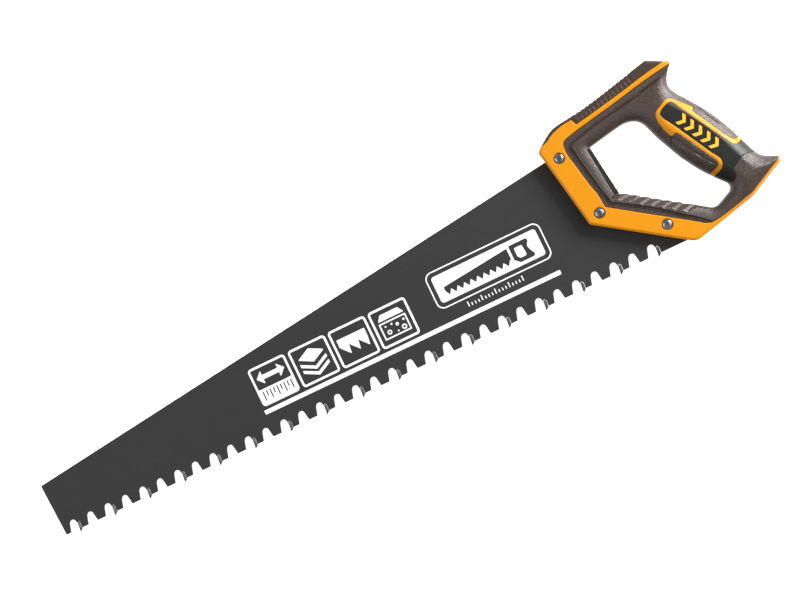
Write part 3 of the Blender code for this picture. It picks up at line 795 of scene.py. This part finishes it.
rings = ringLines()
crossLines = [np.linspace(*ends, liner["crossSteps"]) for ends in liner["crossLines"]]
crossFolds = (-liner["crossWidths"][1], 0.0, liner["crossWidths"][1])
padFolds = (lowPad["groove"][0], 0.0, lowPad["groove"][3], lowPad["round"])
folds = [beside(bezel, away) for away in liner["bezelSteps"]]
folds += [beside(line, away) for line in crossLines for away in crossFolds]
folds += [beside(line, away) for line in (fingerLine, palmLine) for away in padFolds]
for k in range(ribs["count"]):
    for extra in (0.0, ribFall):
        tip = ribStart + (k * ribPitch + extra) * ribDown
        tip = tip + ribCrest * float((ribStart + k * ribStep - tip) @ ribCrest)
        folds.append(np.array([tip - ribCrest * away for away in np.arange(*ribs["foldReach"])]))
fineLiner, fineSpine = ((556, 14, 622, 66), 0.75), ((557, 126, 620, 150), 0.6)
softGrip = handlePiece("softGrip", regions["soft"], (regions["insert"], regions["strip"]), softRelief, folds,
                       fineLiner)
print("soft grip", len(softGrip.data.polygons), "faces")

spineAlong = np.array(spine["along"])
spineAcross = np.array((-spineAlong[1], spineAlong[0]))
lastNotch = (spine["count"] - 1) * spine["pitch"]
scalloped = []
for a, b in zip(outerPath, np.roll(outerPath, -1, axis=0)):
    onSpine = min(a[1], b[1]) > spine["lowest"]
    steps = max(1, math.ceil(np.linalg.norm(b - a) / spine["outlineStep"])) if onSpine else 1
    for spot in (a + (b - a) * i / steps for i in range(steps)):
        offset = spot - np.array(spine["first"])
        run = offset @ spineAlong
        notched = -spine["past"] < run < lastNotch + spine["past"] and offset @ spineAcross > spine["inside"]
        if spot[1] > spine["lowest"] and notched:
            spot = spot - spineAcross * spine["notch"] * float(scallop(run))
        scalloped.append(spot)
spinePad = handlePiece("spinePad", regions["pad"], (), padRelief, (), fineSpine, np.array(scalloped))
gripTrim = handlePiece("gripTrim", regions["trim"])
corePanel = handlePiece("corePanel", regions["panel"], (), panelRelief)
coreStrip = handlePiece("coreStrip", regions["strip"])
shell = handlePiece("shell", regions["frame"], (), shellRelief)
print("handle pieces cut from their outlines")

# screws and slot
screw = {"places": ((532.5, 108.4), (543.1, 52.4), (589.8, 19.4)), "head": 3.9, "headHeight": 2.1,
         "flange": 4.45, "flangeEdge": ((-0.2, 0.45), (0.0, 0.3), (0.0, 0.1), (-0.1, 0.0)),
         "dome": 1.05, "domeBends": (12, 26, 40, 54, 66, 78), "gap": 0.3, "bore": 4.75, "ledge": 9.5,
         "mouth": ((0.0, 10.5), (0.5, 10.98), (0.5, 30.0)), "recess": 2.5, "recessDepth": 1.6,
         "recessCut": 20, "starSteps": 48, "lobes": 6, "lobeMean": 0.83, "lobeReach": 0.17, "turn": 0.35,
         "turnStep": 0.8,
         "shank": ((1.7, -6.0), (1.2, -6.6), (0.0, -6.6)),
         "barrel": ((3.0, -9.2), (2.0, -9.2), (2.0, 7.2), (0.0, 7.2))}
blade = {"thickness": 1.8, "pitch": 17.47, "first": 9.75, "gullets": 33, "bevel": 0.14, "slotGap": 0.3,
         "tail": ((519.9, 110.9, 0.0), (525.6, 111.6, 1.0), (536.0, 51.0, 3.0), (603.0, 5.2, 2.0),
                  (600.0, 0.0, 0.0)),
         "slotMouth": ((500.0, 0.0), (500.0, 108.52)), "toe": (0.0, 0.0, 0.3),
         "toeTop": (-toeOverhang, 48.65, 0.8), "tipThickness": 2.8, "tipBevel": 0.16}
ledge, bore = screw["ledge"], screw["bore"]
hole = screw["barrel"][0][0] + screw["gap"]
boreProfile = [(hole, ledge), (bore, ledge)] + [(bore + wider, z) for wider, z in screw["mouth"]]
boreProfile.append((0, screw["mouth"][-1][1]))
boreProfile = [(radius, -z) for radius, z in boreProfile[::-1]] + boreProfile
cuts = [lathe(f"bore{i}", boreProfile, at) for i, at in enumerate(screw["places"])]
tailPath = drawn(blade["tail"], closed=False, longest=30)
slotPath = grown(np.concatenate([tailPath, blade["slotMouth"]]), blade["slotGap"])
slotHalf = blade["thickness"] / 2 + blade["slotGap"]
cuts.append(prism("slot", slotPath, -slotHalf, slotHalf))
cutAway(shell, cuts)

star = []
for i in range(screw["starSteps"]):
    angle = 2 * math.pi * i / screw["starSteps"]
    radius = screw["recess"] * (screw["lobeMean"] + screw["lobeReach"] * math.cos(screw["lobes"] * angle))
    star.append((radius * math.cos(angle), radius * math.sin(angle)))
seat, head = ledge + screw["gap"], screw["head"]
top = seat + screw["headHeight"]
domeFoot = top - screw["dome"]
headProfile = [(0, top)]
for bend in screw["domeBends"]:
    angle = math.radians(bend)
    headProfile.append((head * math.sin(angle), domeFoot + screw["dome"] * math.cos(angle)))
headProfile += [(head, domeFoot), (head, seat + screw["flangeEdge"][0][1])]
headProfile += [(screw["flange"] + wider, seat + z) for wider, z in screw["flangeEdge"]]
fasteners = []
for i, (x, y) in enumerate(screw["places"]):
    turn = screw["turn"] + screw["turnStep"] * i
    spun = [(x + a * math.cos(turn) - b * math.sin(turn), y + a * math.sin(turn) + b * math.cos(turn))
            for a, b in star]
    for side, label, shaft in ((1, "screw", screw["shank"]), (-1, "nut", screw["barrel"])):
        profile = headProfile + [(shaft[0][0], seat), *shaft]
        obj = lathe(f"{label}{i + 1}", [(radius, z * side) for radius, z in profile], (x, y))
        low, high = sorted((side * (top - screw["recessDepth"]), side * screw["recessCut"]))
        cutAway(obj, [prism("star", spun, low, high)])
        fasteners.append((obj, label, i + 1))
print("screws and sleeve nuts ready")

# blade and hard tips
gullet = {
    "left": ((-5.3, 0.0, 0.25), (-3.75, 5.4), (-3.1, 7.4), (-2.1, 8.9), (-0.7, 9.75)),
    "right": ((1.3, 9.75), (2.6, 8.95), (3.3, 7.0), (3.75, 3.8), (4.3, 0.0, 0.25)),
    "seat": ((1.3, 9.75), (2.6, 8.95), (3.3, 7.2), (3.7, 5.63, 0.1), (5.3, 7.0, 0.2), (6.72, 5.3, 0.1),
             (6.53, 0.0, 0.15)),
    "tip": ((3.2, -2.8, 0.1), (6.2, -0.4, 0.25), (6.4, 5.2, 0.25), (5.3, 6.6, 0.3), (3.9, 5.4, 0.25)),
}
edge = [blade["toe"]]
centres = [blade["first"] + i * blade["pitch"] for i in range(blade["gullets"])]
for i, centre in enumerate(centres):
    wall = gullet["seat"] if i % 2 == 0 else gullet["right"]
    edge += [(centre + x, *rest) for x, *rest in gullet["left"] + wall]
edge += [*blade["tail"][::-1], blade["toeTop"]]
bladePath = turned(drawn(edge, longest=60, bend=14))
bladePiece = bevelled("sawBlade", bladePath, blade["thickness"] / 2, blade["bevel"])
tips = []
for i, centre in enumerate(centres[::2]):
    shape = turned(drawn([(centre + x, *rest) for x, *rest in gullet["tip"]], longest=20, bend=30))
    tips.append(bevelled(f"tip{i + 1:02d}", shape, blade["tipThickness"] / 2, blade["tipBevel"]))
print("blade with", len(tips), "hard tips")


# painted marks
def outlined(points, bend=15):
    return turned(drawn(points, longest=80, bend=bend))


def box(x0, y0, x1, y1, inset=0.0):
    x0, y0, x1, y1 = x0 + inset, y0 + inset, x1 - inset, y1 - inset
    return [(x0, y0), (x1, y0), (x1, y1), (x0, y1)]


def roundedBox(corners, radius):
    return outlined([(x, y, radius) for x, y in corners])


def polygon(points, radius, x0=0.0, y0=0.0):
    return outlined([(x0 + x, y0 + y, radius) for x, y in points], bend=25)


def disc(x, y, radius, steps=24):
    angles = [2 * math.pi * i / steps for i in range(steps)]
    return np.array([(x + radius * math.cos(a), y + radius * math.sin(a)) for a in angles])


marks = {
    "stroke": 2.0, "inkLow": 0.88, "inkHigh": 0.94, "bar": (208.7, 19.9, 492.1, 23.7), "barRadius": 0.5,
    "squares": ((210.0, 26.6, 245.9, 61.4), (249.1, 26.5, 285.2, 61.2), (287.9, 26.4, 323.8, 61.1),
                (326.4, 26.4, 362.1, 60.9)),
    "squareRadii": (3.2, 1.2), "ruleHeight": 14.6,
    "arrow": ((-13.5, 24), (-7.5, 30), (-7.5, 26), (7.5, 26), (7.5, 30), (13.5, 24), (7.5, 18), (7.5, 22),
              (-7.5, 22), (-7.5, 18)),
    "ruleTicks": {"count": 9, "first": 4.4, "pitch": 3.35, "width": 1.1, "lows": (4.2, 7.4), "high": 12.4},
    "sheet": ((-12.5, 23.5), (0, 17.2), (12.5, 23.5), (0, 29.8)),
    "sheetEdge": ((-12.5, 19.6), (0, 13.3), (12.5, 19.6), (12.5, 16.6), (0, 10.3), (-12.5, 16.6)),
    "sheetDrops": (0.0, 5.6),
    "teeth": {"side": 4.6, "top": 25, "root": 18, "tip": 9.5, "pitch": 8.9, "lean": 1.2, "count": 3},
    "block": {"side": 5.2, "low": 6.4, "high": 21.5, "stroke": 1.3},
    "lid": {"sides": (5.6, 9.4), "heights": (23.2, 28.6)},
    "pores": ((11.5, 11.8, 2.1), (20.4, 15.6, 1.5), (25.2, 11.0, 2.3), (15.8, 17.6, 0.9), (10.0, 17.4, 0.8),
              (19.0, 9.8, 0.8), (27.0, 17.2, 1.0)),
    "ringedPore": 2.0,
    "badge": (384.6, 36.0, 492.6, 69.5), "badgeInsets": (0.0, 1.1, 4.8), "badgeRadii": (6.5, 5.5, 2.6),
    "saw": {"left": 7, "back": 12.2, "root": 8.6, "tip": 4.0, "first": 9.6, "lean": 2.8, "pitch": 6.2,
            "teeth": 10, "right": 69.5, "top": 18.6},
    "sawGrip": ((71.6, 19.8, 1.2), (90.5, 19.8, 2.2), (86.5, 13.2), (91, 2.8, 2.2), (76, 2.8, 2.0),
                (71.6, 6.8, 1.0)),
    "sawHole": ((75.4, 16.2, 1.0), (82.6, 16.2, 1.4), (83.4, 6.4, 1.4), (77.4, 6.4, 1.0), (75.4, 8.6, 0.8)),
    "rule": {"count": 17, "first": 409.0, "pitch": 3.2, "width": 0.9, "low": 28.6, "highs": (33.2, 31.2)},
}
rounding = {"arrow": 0.25, "tick": 0.1, "sheet": 0.6, "sheetEdge": 0.3, "teeth": 0.35, "block": 0.5,
            "hollow": 0.3, "lid": 0.4, "saw": 0.2}
stroke = marks["stroke"]
loops = [roundedBox(box(*marks["bar"]), marks["barRadius"])]
for i, (x0, y0, x1, y1) in enumerate(marks["squares"]):
    low = y0 + (marks["ruleHeight"] if i == 0 else stroke)
    outerRadius, innerRadius = marks["squareRadii"]
    loops.append(roundedBox(box(x0, y0, x1, y1), outerRadius))
    loops.append(roundedBox(box(x0 + stroke, low, x1 - stroke, y1 - stroke), innerRadius))

x0, y0, x1, y1 = marks["squares"][0]  # length: a two-way arrow over a rule
loops.append(polygon(marks["arrow"], rounding["arrow"], (x0 + x1) / 2, y0))
ticks = marks["ruleTicks"]
for k in range(ticks["count"]):
    left, low = x0 + ticks["first"] + k * ticks["pitch"], y0 + ticks["lows"][k % 2]
    tick = box(left, low, left + ticks["width"], y0 + ticks["high"])
    loops.append(polygon(tick, rounding["tick"]))

x0, y0, x1, y1 = marks["squares"][1]  # steel: stacked sheets
loops.append(polygon(marks["sheet"], rounding["sheet"], (x0 + x1) / 2, y0))
for drop in marks["sheetDrops"]:
    loops.append(polygon(marks["sheetEdge"], rounding["sheetEdge"], (x0 + x1) / 2, y0 - drop))

x0, y0, x1, y1 = marks["squares"][2]  # teeth: a strip of blade
teeth = marks["teeth"]
left, right, root = x0 + teeth["side"], x1 - teeth["side"], y0 + teeth["root"]
strip = [(left, y0 + teeth["top"]), (right, y0 + teeth["top"]), (right, root)]
for k in range(teeth["count"]):
    strip.append((right - teeth["pitch"] * k - teeth["lean"], y0 + teeth["tip"]))
    strip.append((right - teeth["pitch"] * (k + 1), root))
loops.append(polygon(strip, rounding["teeth"]))

x0, y0, x1, y1 = marks["squares"][3]  # material: a porous block
block, lid = marks["block"], marks["lid"]
corners = (x0 + block["side"], y0 + block["low"], x1 - block["side"], y0 + block["high"])
loops.append(polygon(box(*corners), rounding["block"]))
loops.append(polygon(box(*corners, block["stroke"]), rounding["hollow"]))
(wide, narrow), (foot, peak) = lid["sides"], lid["heights"]
loops.append(polygon([(x0 + wide, y0 + foot), (x1 - wide, y0 + foot), (x1 - narrow, y0 + peak),
                      (x0 + narrow, y0 + peak)], rounding["lid"]))
for x, y, radius in marks["pores"]:
    loops.append(disc(x0 + x, y0 + y, radius))
    if radius > marks["ringedPore"]:
        loops.append(disc(x0 + x, y0 + y, radius / 2))

# badge: a plain hand saw on a plate, over a short rule
for inset, radius in zip(marks["badgeInsets"], marks["badgeRadii"]):
    loops.append(roundedBox(box(*marks["badge"], inset), radius))
x0, y0 = marks["badge"][0] + marks["badgeInsets"][2], marks["badge"][1] + marks["badgeInsets"][2]
saw = marks["saw"]
sawMark = [(saw["left"], saw["back"]), (saw["left"], saw["root"])]
for k in range(saw["teeth"]):
    tooth = saw["first"] + saw["pitch"] * k
    sawMark += [(tooth, saw["tip"]), (tooth + saw["lean"], saw["root"])]
sawMark += [(saw["right"], saw["root"]), (saw["right"], saw["top"])]
loops.append(polygon(sawMark, rounding["saw"], x0, y0))
loops.append(outlined([(x0 + x, y0 + y, *rest) for x, y, *rest in marks["sawGrip"]]))
loops.append(outlined([(x0 + x, y0 + y, *rest) for x, y, *rest in marks["sawHole"]], bend=20))
rule = marks["rule"]
for k in range(rule["count"]):
    left, high = rule["first"] + k * rule["pitch"], rule["highs"][min(k % 4, 1)]
    loops.append(polygon(box(left, rule["low"], left + rule["width"], high), rounding["tick"]))
bladeMarks = plate("bladeMarks", loops, marks["inkLow"], marks["inkHigh"])

chevrons = {"centre": (645.1, 79.1), "along": (0.473, -0.881), "count": 5, "pitch": 8.4, "half": 5.0,
            "thick": 3.3, "point": 3.6, "radius": 0.3, "sunk": 0.03, "proud": 0.05}
along = np.array(chevrons["along"])
across = np.array((-along[1], along[0]))
point, half = chevrons["point"] / 2, chevrons["half"]
shape = [(-point, -half), (point, 0), (-point, half)]
shape += [(t + chevrons["thick"], w) for t, w in shape[::-1]]
loops = []
for k in range(chevrons["count"]):
    base = np.array(chevrons["centre"]) + along * chevrons["pitch"] * (k - (chevrons["count"] - 1) / 2)
    loops.append(polygon([base + along * t + across * w for t, w in shape], chevrons["radius"]))
level = handle["restHalf"] - handle["panelDrop"]
low, high = level - chevrons["sunk"], level + chevrons["proud"]
gripMarks = [plate("gripMarksNear", loops, low, high), plate("gripMarksFar", loops, -high, -low)]
print("plain painted marks on the blade and the grip")

# metal and paint finishes
coating = {"colour": (0.026, 0.026, 0.0265), "light": (0.03, 0.03, 0.0305), "rubbed": (0.14, 0.14, 0.145),
           "film": (0.2, 0.2, 0.2), "roughness": 0.58, "specular": 0.2, "stretch": (6.0, 260.0, 260.0),
           "streaks": (0.35, 0.7), "toned": 0.5, "dust": 0.02, "rub": 0.55, "bare": 0.7, "uneven": 0.16,
           "polished": 0.06, "streakNoise": (1.6, 6.0, 0.6), "fleckNoise": (2400.0, 2.0), "fleckBump": 0.6,
           "streakBump": 0.5, "bump": 0.12, "bumpDepth": 0.0001}
steel, net, shader, where = newMaterial("bladeCoating", coating)
stretched = net.add("ShaderNodeMapping", Vector=where)
stretched.inputs["Scale"].default_value = coating["stretch"]
streaks = net.noise(stretched.outputs["Vector"], *coating["streakNoise"]).outputs["Fac"]
fleck = net.noise(where, *coating["fleckNoise"]).outputs["Fac"]
wear = placed(net, wearAndPaintedLightGroup, where, Low=0.56, High=0.75, Patchiness=300.0)
dust = placed(net, dustGroup, where, Size=18.0)
toning = net.times(net.ramp(streaks, *coating["streaks"]), coating["toned"])
toned = net.mix(toning, coating["colour"], coating["light"])
filmed = net.mix(net.times(dust["Film"], coating["dust"]), toned, coating["film"])
net.put(net.mix(net.times(wear["Mask"], coating["rub"]), filmed, coating["rubbed"]), shader["Base Color"])
net.put(net.times(wear["Mask"], coating["bare"]), shader["Metallic"])
uneven = net.times(streaks, coating["uneven"])
net.put(net.plus(uneven, coating["roughness"] - coating["polished"]), shader["Roughness"])
height = net.plus(net.times(fleck, coating["fleckBump"]), net.times(streaks, coating["streakBump"]))
bump(net, shader, height, coating["bump"], coating["bumpDepth"])

hard = {"colour": (0.085, 0.085, 0.09), "ground": (0.13, 0.13, 0.135), "rubbed": (0.3, 0.3, 0.31), "rub": 0.8,
        "roughness": 0.42, "metallic": 0.7, "lines": 700.0, "bump": 0.15, "bumpDepth": 0.0001}
carbide, net, shader, where = newMaterial("hardTip", hard)
lines = net.add("ShaderNodeTexWave", wave_type="BANDS", bands_direction="Y", Vector=where,
                Scale=hard["lines"], Distortion=2.0, Detail=2.0).outputs["Fac"]
wear = placed(net, wearAndPaintedLightGroup, where, Low=0.52, High=0.6, Patchiness=500.0)
ground = net.mix(lines, hard["colour"], hard["ground"])
net.put(net.mix(net.times(wear["Mask"], hard["rub"]), ground, hard["rubbed"]), shader["Base Color"])
bump(net, shader, lines, hard["bump"], hard["bumpDepth"])

# screw finish: the recess colour is painted shade laid into the heads' hollows
plated = {"colour": (0.38, 0.405, 0.44), "spangle": (0.25, 0.27, 0.3), "recess": (0.17, 0.185, 0.21),
          "roughness": 0.26, "smudge": 0.16, "metallic": 0.95, "grains": 900.0, "spread": 0.5, "bump": 0.06,
          "bumpDepth": 0.0001}
zinc, net, shader, where = newMaterial("zincPlatePaintedShade", plated)
mottle = net.add("ShaderNodeTexVoronoi", Vector=where, Scale=plated["grains"]).outputs["Distance"]
dust = placed(net, dustGroup, where, Size=160.0)
wear = placed(net, wearAndPaintedLightGroup, where, Low=0.42, High=0.5, Patchiness=500.0)
spangled = net.mix(net.times(mottle, plated["spread"]), plated["colour"], plated["spangle"])
# painted shade: the inverse of the edge mask darkens the heads' hollows, such as the star recess and the
# groove round the dome, to the recess colour, and darkens the flats in random patches
hollow = net.math("SUBTRACT", 1.0, wear["Mask"], clamp=True)
net.put(net.mix(hollow, spangled, plated["recess"]), shader["Base Color"])
net.put(net.plus(net.times(dust["Smudge"], plated["smudge"]), plated["roughness"]), shader["Roughness"])
bump(net, shader, mottle, plated["bump"], plated["bumpDepth"])


def inkMaterial(name, values):
    material, net, shader, where = newMaterial(name, values)
    patches = net.noise(where, *values["patches"]).outputs["Fac"]
    worn = net.times(net.ramp(patches, *values["worn"]), values["wear"])
    net.put(net.mix(worn, values["colour"], values["thin"]), shader["Base Color"])
    uneven = net.times(patches, values["uneven"])
    net.put(net.plus(uneven, values["roughness"] - values["uneven"] / 2), shader["Roughness"])
    bump(net, shader, patches, values["bump"], values["bumpDepth"])
    return material


ink = {"colour": (0.86, 0.86, 0.85), "thin": (0.55, 0.55, 0.55), "roughness": 0.55, "specular": 0.4,
       "patches": (420.0, 5.0, 0.7), "worn": (0.56, 0.78), "wear": 0.45, "uneven": 0.2, "bump": 0.1,
       "bumpDepth": 0.0001}
whiteInk = inkMaterial("whiteInk", ink)
yellowInk = inkMaterial("yellowInk", {**ink, "colour": (0.89, 0.4, 0.02), "thin": (0.55, 0.24, 0.02),
                                      "roughness": 0.45})

metalAngle = 30
finish(bladePiece, steel, ["blade"], metalAngle)
finish(bladeMarks, whiteInk, [])
finish(softGrip, brown, ["soft_grip"])
finish(spinePad, padBrown, ["spine_pad"])
finish(gripTrim, trimYellow, ["grip_trim"])
finish(corePanel, coreBlack, ["handle_core"])
finish(coreStrip, stripBlack, [])
finish(shell, shellYellow, ["handle_frame"])
for obj in gripMarks:
    finish(obj, yellowInk, [])
for i, obj in enumerate(tips):
    finish(obj, carbide, [f"carbide_tip_{i + 1:02d}"], metalAngle)
nodeNames = {"screw": "screw", "nut": "sleeve_nut"}
for obj, label, number in fasteners:
    finish(obj, zinc, [f"{nodeNames[label]}_{number}"], metalAngle)
print("pieces finished and riding on the body")

# floor, light, camera
studio = {"floorSize": 8.0, "colour": (0.93, 0.93, 0.93), "roughness": 0.9, "floorGlow": 0.85, "world": 0.21,
          "aim": (0.12, 0, 0.02),
          "lamps": {"key": (66.0, 0.9, (1.8, 0.6, 0.95)), "rim": (13.0, 0.8, (1.5, 0.3, 0.5)),
                    "top": (10.0, 1.2, (1.35, -0.1, 1.7)), "low": (26.0, 2.0, (-1.5, 0.2, 1.6))}}
side = studio["floorSize"] / 2
floorMesh = bpy.data.meshes.new("floor")
floorMesh.from_pydata([(x, y, 0) for x, y in box(-side, -side, side, side)], [], [[0, 1, 2, 3]])
floor = addObject("floor", floorMesh)
paper, net, shader, where = newMaterial("paleFloor", studio)
net.put((1, 1, 1), shader["Emission Color"])
net.put(studio["floorGlow"], shader["Emission Strength"])
floor.data.materials.append(paper)

world = bpy.data.worlds.new("studio")
bpy.context.scene.world = world
world.use_nodes = True
background = world.node_tree.nodes["Background"]
background.inputs["Color"].default_value = (1, 1, 1, 1)
background.inputs["Strength"].default_value = studio["world"]
for label, (power, size, place) in studio["lamps"].items():
    light = bpy.data.lights.new(label, "AREA")
    light.energy, light.shape, light.size = power, "DISK", size
    lamp = addObject(label, light)
    lamp.location = place
    lamp.rotation_euler = (Vector(studio["aim"]) - Vector(place)).to_track_quat("-Z", "Y").to_euler()

view = {"lens": 85.0, "distance": 1619.6, "target": (357.7, 59.3), "tilt": 7.58, "roll": 25.69}
camera = bpy.data.cameras.new("camera")
camera.lens = view["lens"]
cameraObj = addObject("camera", camera)
tilt = Matrix.Rotation(math.radians(view["tilt"]), 4, "Y")
turn = tilt @ Matrix.Rotation(-math.radians(view["roll"]), 4, "Z")
aimAt = Vector((view["target"][0] * mm, view["target"][1] * mm, 0)) + datum
back = turn.to_3x3() @ Vector((0, 0, view["distance"] * mm))
cameraObj.matrix_world = Matrix.Translation(aimAt + back) @ turn
bpy.context.scene.camera = cameraObj
bpy.context.scene.view_settings.view_transform = "Standard"
print("floor, lights and camera ready")
